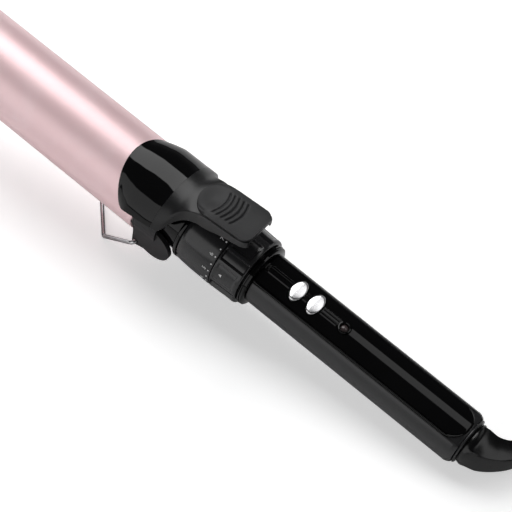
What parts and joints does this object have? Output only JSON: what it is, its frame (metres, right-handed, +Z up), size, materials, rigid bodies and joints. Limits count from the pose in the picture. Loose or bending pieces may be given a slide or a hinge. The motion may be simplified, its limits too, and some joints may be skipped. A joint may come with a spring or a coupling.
{
  "type": "curling wand",
  "caption": "Hair curling wand with a spring clip, thumb lever, temperature dial, push buttons, folding wire stand and swivel cord.",
  "frame": {"origin": "on the surface it lies on, below the middle of the wand without its cord, strain relief and plug", "axes": "+X along the wand from the tip towards the cord, +Z up through the thumb lever, -Y the side with the stand's near leg"},
  "size_m": [0.5342, 0.0717, 0.0733],
  "materials": {
    "pink_ceramic": "satin pearl ceramic coat",
    "gloss_black": "piano gloss",
    "satin_black": "semi-gloss, fine grained",
    "matte_charcoal": "matte, fine grained",
    "chrome": "polished",
    "spring_steel": "bright drawn wire and plated fasteners",
    "brass": "plain",
    "aluminium": "extruded",
    "heater_ceramic": "dull white ceramic",
    "circuit_board": "solder mask",
    "dark_lens": "clear dark red",
    "led_red": "tinted clear",
    "wire_insulation": "smooth sleeve",
    "cord_rubber": "soft matte sheath"
  },
  "bodies": {
    "handle": {"barrel": "pink_ceramic", "barrel_seat": "heater_ceramic", "bracket_screw": "spring_steel", "circuit_board": "circuit_board", "contact_live": "brass", "contact_neutral": "brass", "cool_tip": "satin_black", "cord": "cord_rubber", "cord_hank": "cord_rubber", "cord_tail": "cord_rubber", "end_cap": "satin_black", "front_ring": "gloss_black", "handle_lower_shell": "satin_black", "handle_top_panel": "gloss_black", "heat_spreader_lower": "aluminium", "heat_spreader_upper": "aluminium", "hinge_pin_far": "spring_steel", "hinge_pin_near": "spring_steel", "led_bezel": "chrome", "led_lens": "dark_lens", "neck_housing": "gloss_black", "number_ring": "satin_black", "plug_body": "cord_rubber", "plug_pin_live": "chrome", "plug_pin_neutral": "chrome", "power_triac": "satin_black", "ptc_heater": "heater_ceramic", "resistor_track": "heater_ceramic", "sensor_wire": "wire_insulation", "shell_screw_front": "spring_steel", "shell_screw_rear": "spring_steel", "stand_bracket": "matte_charcoal", "status_led": "led_red", "switch_off": "spring_steel", "switch_on": "spring_steel", "temperature_sensor": "heater_ceramic", "thermal_fuse": "aluminium", "torsion_spring_far": "spring_steel", "torsion_spring_near": "spring_steel", "track_front": "chrome", "track_rear": "chrome", "wire_live": "wire_insulation", "wire_neutral": "wire_insulation"},
    "clip": {"clip_blade": "pink_ceramic", "clip_frame": "matte_charcoal", "clip_cover": "gloss_black", "thumb_pad": "matte_charcoal", "blade_rivet_front": "spring_steel", "blade_rivet_rear": "spring_steel"},
    "stand": {"stand_wire": "spring_steel"},
    "dial": {"dial_ring": "satin_black", "dial_wiper": "brass"},
    "on_button": {"button_on": "chrome"},
    "off_button": {"button_off": "chrome"},
    "cord_swivel": {"swivel_spindle": "matte_charcoal", "slip_ring_live": "brass", "slip_ring_neutral": "brass", "cord_boot": "cord_rubber"}
  },
  "joints": [
    {"name": "clip_open", "type": "hinge", "parent": "handle", "child": "clip", "pos_m": [0.00342, 0, 0.02712], "axis": [0, 1, 0], "range_deg": [0, 14], "stiffness_Nm_per_rad": 0.6, "springref_deg": -34.38},
    {"name": "stand_fold", "type": "hinge", "parent": "handle", "child": "stand", "pos_m": [-0.00787, 0, 0.01578], "axis": [0, -1, 0], "range_deg": [0, 140]},
    {"name": "dial_turn", "type": "hinge", "parent": "handle", "child": "dial", "pos_m": [0.04304, 0, 0.02883], "axis": [0.9903, 0, -0.1392], "range_deg": [-135, 135]},
    {"name": "on_button_press", "type": "slide", "parent": "handle", "child": "on_button", "axis": [-0.1392, 0, -0.9903], "range_m": [0, 0.0008], "stiffness_N_per_m": 900, "springref_m": -0.001},
    {"name": "off_button_press", "type": "slide", "parent": "handle", "child": "off_button", "axis": [-0.1392, 0, -0.9903], "range_m": [0, 0.0008], "stiffness_N_per_m": 900, "springref_m": -0.001},
    {"name": "cord_turn", "type": "hinge", "parent": "handle", "child": "cord_swivel", "pos_m": [0.16326, 0, 0.01193], "axis": [0.9903, 0, -0.1392], "continuous": true}
  ]
}
